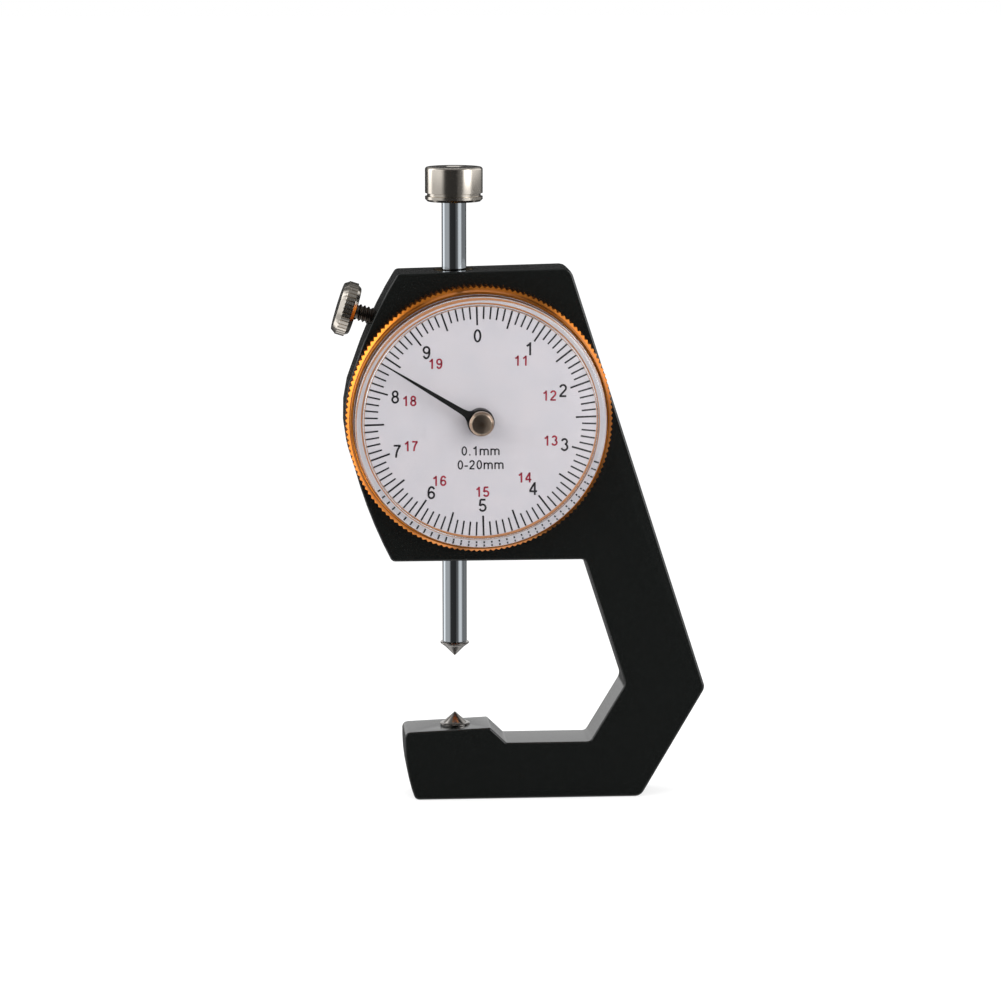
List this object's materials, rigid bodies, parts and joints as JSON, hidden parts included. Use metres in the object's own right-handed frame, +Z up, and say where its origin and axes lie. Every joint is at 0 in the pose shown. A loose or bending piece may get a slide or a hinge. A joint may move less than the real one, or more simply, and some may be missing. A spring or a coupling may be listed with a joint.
{
  "type": "dial thickness gauge",
  "caption": "Dial thickness gauge with a black C frame, knurled gold bezel, sprung spindle, lock screw and coned measuring tips.",
  "frame": {"origin": "where the spindle's axis meets the plane of the foot, at the frame's mid thickness", "axes": "+Z up along the spindle, +X right toward the frame's column, -Y toward the reader"},
  "size_m": [0.0548, 0.0183, 0.0932],
  "materials": {
    "black_paint": "semi-gloss black paint with a fine grain",
    "satin_aluminium": "fine turned, satin",
    "screw_steel": "plain",
    "bush_brass": "turned",
    "polished_steel": "ground and polished",
    "plain_steel": "fine ground",
    "spring_steel": "drawn wire",
    "pointer_black": "satin black",
    "gold_anodised": "bright gold anodised",
    "dial_silver": "matt pale grey with printed divisions and numbers",
    "clear_acrylic": "clear moulded acrylic",
    "nickelled_steel": "bright nickel plated"
  },
  "bodies": {
    "frame_body": {"frame": "black_paint", "rear_cover": "satin_aluminium", "rear_cover_screw_1": "screw_steel", "rear_cover_screw_2": "screw_steel", "rear_cover_screw_3": "screw_steel", "rear_cover_screw_4": "screw_steel", "upper_bush": "bush_brass", "lower_bush": "bush_brass", "arbor_bush": "bush_brass", "anvil_tip": "polished_steel", "guide_plate": "plain_steel", "guide_screw_1": "screw_steel", "guide_screw_2": "screw_steel", "return_spring": "spring_steel", "spring_post": "plain_steel", "pinion_cock": "bush_brass", "cock_screw_1": "screw_steel", "cock_screw_2": "screw_steel", "bezel_snap_ring": "spring_steel"},
    "spindle_body": {"spindle": "polished_steel", "contact_tip": "polished_steel", "lifting_cap": "polished_steel", "guide_pin": "plain_steel"},
    "pointer_body": {"pinion_arbor": "plain_steel", "pointer": "pointer_black", "pointer_cap": "polished_steel"},
    "dial_body": {"bezel": "gold_anodised", "dial_plate": "dial_silver", "crystal": "clear_acrylic"},
    "lock_pad_body": {"lock_pad": "bush_brass"},
    "lock_screw_body": {"lock_screw": "nickelled_steel"}
  },
  "joints": [
    {"name": "spindle_slide", "type": "slide", "parent": "frame_body", "child": "spindle_body", "axis": [0, 0, 1], "range_m": [-0.0084, 0.0116], "stiffness_N_per_m": 50, "springref_m": -0.0204, "deforming": ["return_spring"]},
    {"name": "pointer_turn", "type": "hinge", "parent": "frame_body", "child": "pointer_body", "pos_m": [0.0032, 0, 0.0571], "axis": [0, 1, 0], "range_deg": [-310, 425]},
    {"name": "dial_turn", "type": "hinge", "parent": "frame_body", "child": "dial_body", "pos_m": [0.0032, 0, 0.0571], "axis": [0, 1, 0], "continuous": true},
    {"name": "lock_pad_slide", "type": "slide", "parent": "frame_body", "child": "lock_pad_body", "axis": [0.9537, 0, -0.3007], "range_m": [-0.0018, 0.00025]},
    {"name": "lock_screw_turn", "type": "hinge", "parent": "lock_pad_body", "child": "lock_screw_body", "pos_m": [-0.0119, 0, 0.0714], "axis": [0.9537, 0, -0.3007], "range_deg": [-1082, 151]}
  ],
  "couplings": [
    {"joint": "pointer_turn", "follows": "spindle_slide", "rad_per_m": 628.32},
    {"joint": "lock_screw_turn", "follows": "lock_pad_slide", "rad_per_m": 10472}
  ]
}
